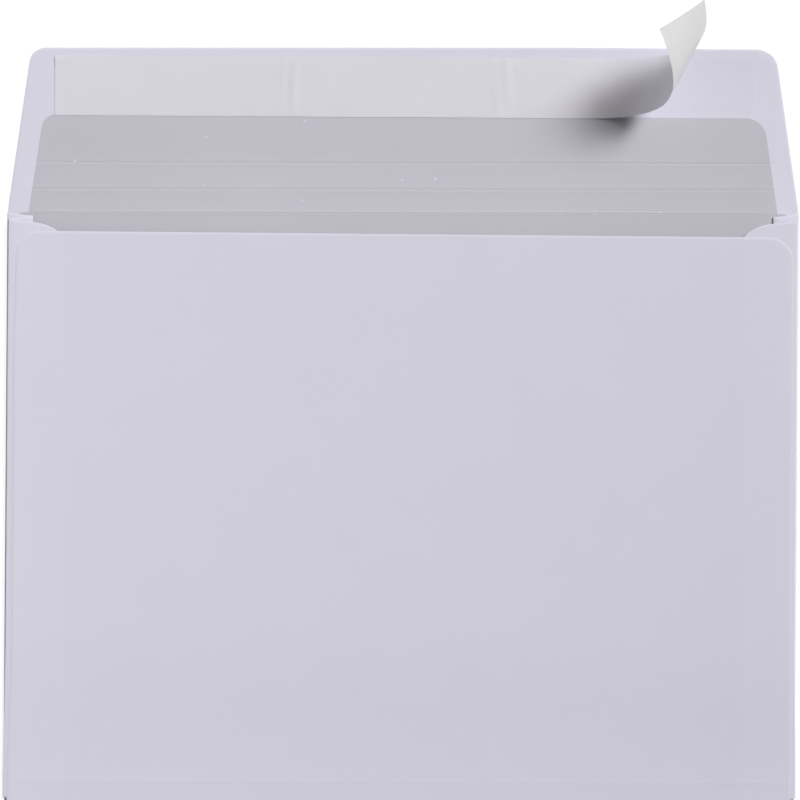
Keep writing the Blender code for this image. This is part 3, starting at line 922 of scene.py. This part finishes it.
def printed_within(tree):
    """Bare at the margins, printed grey within, with specks where dust kept the ink off."""
    grain = tree.group(PRINT_GRAIN, Grain=PRINT_GRAIN_DEPTH)
    on_flap = tree.group(
        PANEL_OUTLINE,
        Half_Width=PANEL_HALF + FLAP_FLARE - PRINT_MARGIN,
        Lean=math.tan(FLAP_SIDE_SLOPE),
        Base_Y=FOLD_Y,
        Top_Y=FLAP_TOP_Y - PRINT_TOP_DROP,
        Radius=tree.ramp(place_axis(tree, "X"), *PRINT_MIDDLE, *PRINT_CORNER_RADII),
        Skew=math.tan(PRINT_TURN),
    )["Distance"]
    in_pocket = tree.group(
        PANEL_OUTLINE,
        Half_Width=PANEL_HALF - PRINT_MARGIN_INSIDE,
        Lean=0.0,
        Base_Y=0.0,
        Top_Y=FOLD_Y + PRINT_MARGIN_INSIDE,
        Radius=PRINT_INSIDE_RADIUS,
    )["Distance"]
    flap = tree.ramp(place_axis(tree, "Y"), FOLD_Y - PRINT_JOIN, FOLD_Y + PRINT_JOIN)
    pocket = tree.math("SUBTRACT", 1.0, flap)
    upper = tree.math("MULTIPLY", tree.ramp(on_flap, -PRINT_EDGE, PRINT_EDGE, 1.0, 0.0), flap)
    lower = tree.math("MULTIPLY", tree.ramp(in_pocket, -PRINT_EDGE, PRINT_EDGE, 1.0, 0.0), pocket)
    unspecked = tree.math("SUBTRACT", 1.0, grain["Specks"])
    inked = tree.math("MULTIPLY", tree.math("ADD", upper, lower), unspecked)
    away = tree.math("ABSOLUTE", place_axis(tree, "X"))
    ends = tree.ramp(away, PRINT_DARK_FROM, PRINT_DARK_TO, 1.0, PRINT_DARK)
    shade = tree.math("MULTIPLY", grain["Shade"], ends)
    return tree.mix(inked, (*BARE_PAPER, 1.0), tree.scaled(GREY_PRINT, shade))


def all_printed(tree):
    """The back panel's inner side: printed grey to its edges."""
    grain = tree.group(PRINT_GRAIN, Grain=PRINT_GRAIN_DEPTH)
    return tree.scaled(GREY_PRINT, grain["Shade"])


def print_showing_through(tree):
    """The back panel looks whiter where the gusset's plies lie under it."""
    across = tree.math("ABSOLUTE", tree.math("SUBTRACT", place_axis(tree, "X"), BACK_SHIFT))
    glue_flap = WIDTH / 2 - GLUE_FLAP_WIDTH
    folds = WIDTH / 2 - PLY_WIDTH - FOLD_RADIUS
    over_glue_flap = tree.ramp(across, *(glue_flap + past for past in OVER_GLUE_FLAP_BLEND))
    over_folds = tree.ramp(across, *(folds + past for past in OVER_FOLDS_BLEND))
    colour = tree.mix(over_glue_flap, (*PAPER_OVER_PRINT, 1.0), (*PAPER_OVER_GLUE_FLAP, 1.0))
    return tree.mix(over_folds, colour, (*PAPER_OVER_FOLDS, 1.0))


def liner_paper(name, face, roughness):
    """Siliconed release paper: smooth, a little glossy, faintly clouded, thin enough to glow."""
    made, tree, shader = new_material(name, roughness)
    shader.inputs["Subsurface Weight"].default_value = LINER_GLOW_SHARE
    shader.inputs["Subsurface Radius"].default_value = (1.0, 1.0, 1.0)
    shader.inputs["Subsurface Scale"].default_value = LINER_GLOW_DEPTH
    stock = tree.group(PAPER_STOCK, Mottle=0.06, Fibre=0.012)
    near_cut = tree.node("ShaderNodeAttribute", attribute_name="cut_edge").outputs["Fac"]
    # painted highlight: the liner's cut edges are mixed towards a lighter colour
    colour = tree.mix(tree.ramp(near_cut, *LINER_EDGE_HIGHLIGHT), (*face, 1.0), (*CUT_EDGE_AND_HIGHLIGHT, 1.0))
    tree.feed(shader.inputs["Base Color"], tree.scaled(colour, stock["Shade"]))
    shader.inputs["Specular IOR Level"].default_value = LINER_GLOSS
    shadow = tree.node("ShaderNodeLightPath").outputs["Is Shadow Ray"]
    let_through = tree.math("MULTIPLY", shadow, LINER_LET_THROUGH)
    tree.feed(shader.inputs["Alpha"], tree.math("SUBTRACT", 1.0, let_through))
    bump(tree, shader, stock["Height"], LINER_RELIEF)
    return made


def adhesive_film():
    """The clear glue on the flap: a thin glossy film, uneven where the liner came off."""
    made, tree, shader = new_material("clear_adhesive", FILM_ROUGHNESS)
    place = tree.node("ShaderNodeTexCoord").outputs["Object"]
    ripples = tree.noise(place, FILM_RIPPLES, 3.0, 0.6)
    shader.inputs["Base Color"].default_value = (*ADHESIVE_FILM, 1.0)
    tree.feed(shader.inputs["Alpha"], tree.ramp(ripples, 0.2, 0.8, *FILM_COVER))
    bump(tree, shader, ripples, FILM_RELIEF)
    return made


# The stage


def seen_directly(tree):
    """1 for what the camera sees, also in glossy or clear surfaces, and 0 for other light."""
    path = tree.node("ShaderNodeLightPath")
    seen = tree.math("MAXIMUM", path.outputs["Is Camera Ray"], path.outputs["Is Glossy Ray"])
    return tree.math("MAXIMUM", seen, path.outputs["Is Transmission Ray"])


def make_floor():
    """A wide pale surface. The camera sees it near white, with the object's shadow on it."""
    made, tree, shader = new_material("floor_white", FLOOR_ROUGHNESS)
    shader.inputs["Specular IOR Level"].default_value = 0.0
    seen = seen_directly(tree)
    tree.feed(shader.inputs["Base Color"], tree.mix(seen, FLOOR_LIT, FLOOR_SEEN))
    shader.inputs["Emission Color"].default_value = WHITE
    place = tree.node("ShaderNodeTexCoord").outputs["Object"]
    away = tree.node("ShaderNodeVectorMath", operation="LENGTH")
    tree.feed(away.inputs[0], place)
    glow = tree.ramp(away.outputs["Value"], *FLOOR_GLOW_REACH, *FLOOR_GLOW)
    tree.feed(shader.inputs["Emission Strength"], tree.math("MULTIPLY", seen, glow))
    mesh = bmesh.new()
    bmesh.ops.create_grid(mesh, x_segments=1, y_segments=1, size=FLOOR_HALF)
    data = bpy.data.meshes.new("floor")
    mesh.to_mesh(data)
    mesh.free()
    data.materials.append(made)
    floor = bpy.data.objects.new("floor", data)
    floor.location.z = -FLOOR_DROP
    bpy.context.scene.collection.objects.link(floor)


def make_light(name, azimuth, elevation, distance, size, power, aim=MIDDLE, spread=180):
    """A square soft light. Angles are in degrees, the azimuth counted from +X towards +Y."""
    data = bpy.data.lights.new(name, "AREA")
    data.shape = "SQUARE"
    data.size = size
    data.energy = power
    data.spread = math.radians(spread)
    light = bpy.data.objects.new(name, data)
    turn, up = math.radians(azimuth), math.radians(elevation)
    towards = Vector((math.cos(turn) * math.cos(up), math.sin(turn) * math.cos(up), math.sin(up)))
    light.location = Vector((*MIDDLE, 0.0)) + towards * distance
    back = light.location - Vector((*aim, 0.0))
    light.rotation_euler = back.to_track_quat("Z", "Y").to_euler()
    bpy.context.scene.collection.objects.link(light)


def make_world():
    world = bpy.data.worlds.new("soft_room")
    world.use_nodes = True
    tree = Tree(world.node_tree)
    back = world.node_tree.nodes["Background"]
    back.inputs["Color"].default_value = WHITE
    tree.feed(back.inputs["Strength"], tree.ramp(seen_directly(tree), 0.0, 1.0, ROOM_LIGHT, 1.0))
    bpy.context.scene.world = world


def make_camera():
    """Straight above, and turned slightly, as in the photograph."""
    data = bpy.data.cameras.new("camera")
    data.sensor_width = SENSOR
    data.lens = SENSOR * CAMERA_HEIGHT * PIXELS_PER_METRE / PIXELS_ACROSS
    data.clip_start, data.clip_end = CAMERA_CLIP
    camera = bpy.data.objects.new("camera", data)
    camera.location = (*VIEW_CENTRE, CAMERA_HEIGHT)
    camera.rotation_euler = (0.0, 0.0, CAMERA_ROLL)
    bpy.context.scene.collection.objects.link(camera)
    bpy.context.scene.camera = camera


def main():
    bpy.context.scene.view_settings.view_transform = "Standard"
    plain = paper("paper_plain", bare)
    finishes = (
        paper("paper_inside_printed", printed_within),
        plain,
        paper("paper_back_inside", all_printed),
        paper("paper_back_outside", print_showing_through),
        plain,
        plain,
    )
    sheet = make_sheet(finishes)
    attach(sheet, "root")
    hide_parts("envelope")

    face = liner_paper("liner_face", LINER_FACE, LINER_FACE_ROUGHNESS)
    coated = liner_paper("liner_coated_side", LINER_BACK, LINER_BACK_ROUGHNESS)
    liner = make_liner((face, coated))
    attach(liner, "root")
    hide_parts("release_liner")

    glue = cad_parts["closure_adhesive"]
    glue.data.materials.clear()
    glue.data.materials.append(adhesive_film())

    make_floor()
    make_world()
    make_light(
        "key", azimuth=42, elevation=45, distance=6.0, size=2.4, power=24.5, aim=KEY_AIM, spread=31
    )
    make_light("fill", azimuth=190, elevation=14, distance=1.2, size=0.6, power=3.9)
    make_camera()


main()
